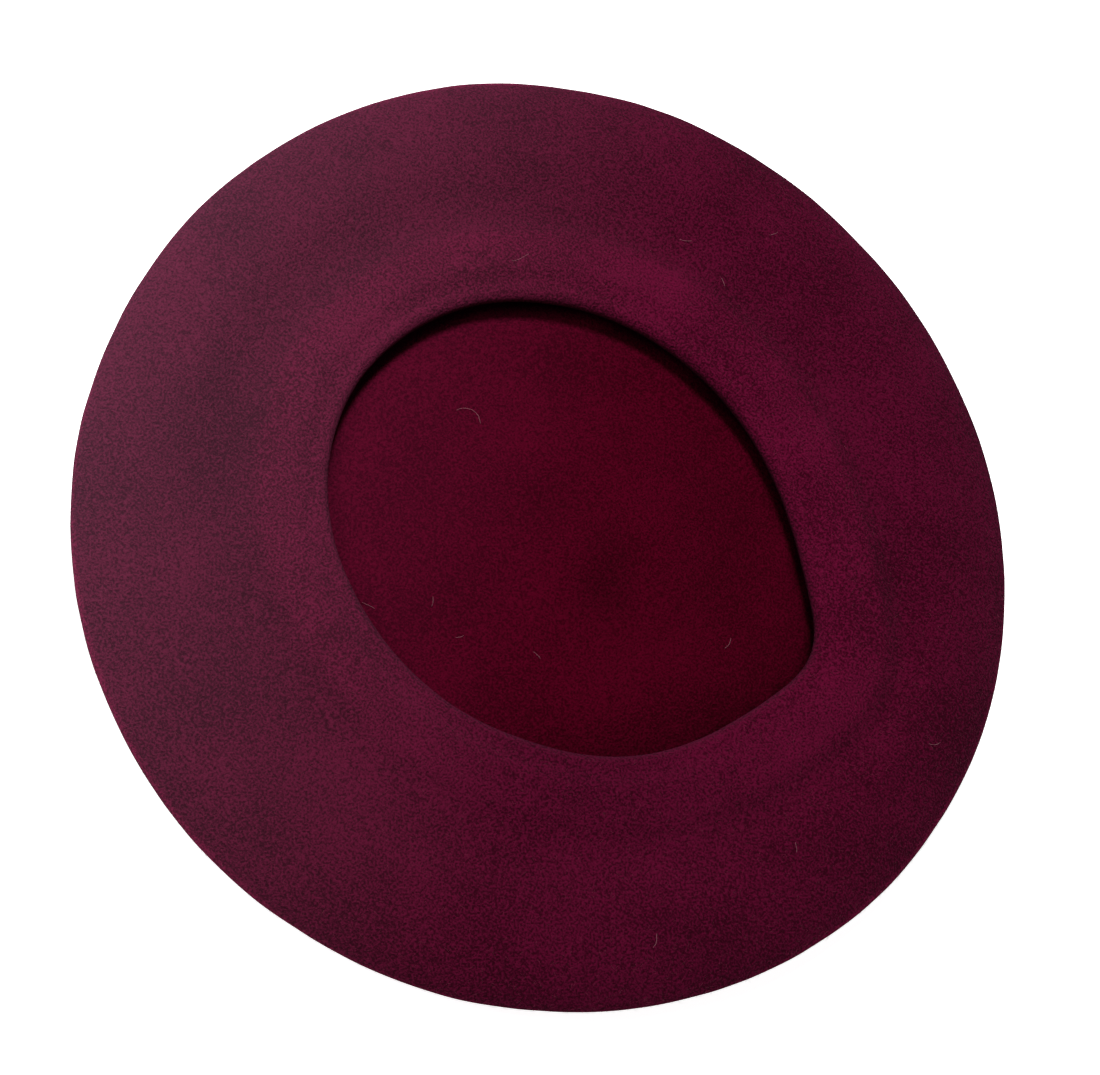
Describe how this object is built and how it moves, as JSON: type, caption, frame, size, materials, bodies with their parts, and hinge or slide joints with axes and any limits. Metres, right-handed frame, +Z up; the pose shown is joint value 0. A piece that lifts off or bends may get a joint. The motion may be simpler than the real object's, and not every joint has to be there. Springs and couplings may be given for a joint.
{
  "type": "beret",
  "caption": "Flat round wool felt beret lying upside down on its crown, with a folded elastic hem round the head opening, a centre stem tab and a blank sewn-in label.",
  "frame": {"origin": "centre of the bounding box seen from above, on the surface the crown lies on", "axes": "+Z up out of the head opening, square to the flat crown; +X and +Y lie in the plane of the crown, and the head opening's slightly pulled-out corner is at about 17 degrees from +X towards +Y"},
  "size_m": [0.28, 0.28, 0.018],
  "materials": {
    "felt": "matt burgundy fulled wool felt with a short raised nap",
    "yarn": "dyed-to-match wool and sewing thread",
    "elastic": "dark braided round elastic",
    "label": "plain woven satin tape, blank"
  },
  "bodies": {
    "felt": {"crown": "felt", "underside": "felt", "hem_elastic": "elastic", "hem_thread": "yarn", "stem_anchor": "yarn", "label_stitches": "yarn"},
    "stem": {"stem": "yarn"},
    "label": {"fibre_label": "label"}
  },
  "joints": [
    {"name": "stem_bend", "type": "hinge", "parent": "felt", "child": "stem", "pos_m": [0.012, -0.002, 0.0022], "axis": [0, -1, 0], "range_deg": [0, 180], "stiffness_Nm_per_rad": 0.0001, "springref_deg": 90},
    {"name": "label_lift", "type": "hinge", "parent": "felt", "child": "label", "pos_m": [-0.0985, 0, 0.0106], "axis": [0, 1, 0], "range_deg": [0, 40]}
  ]
}
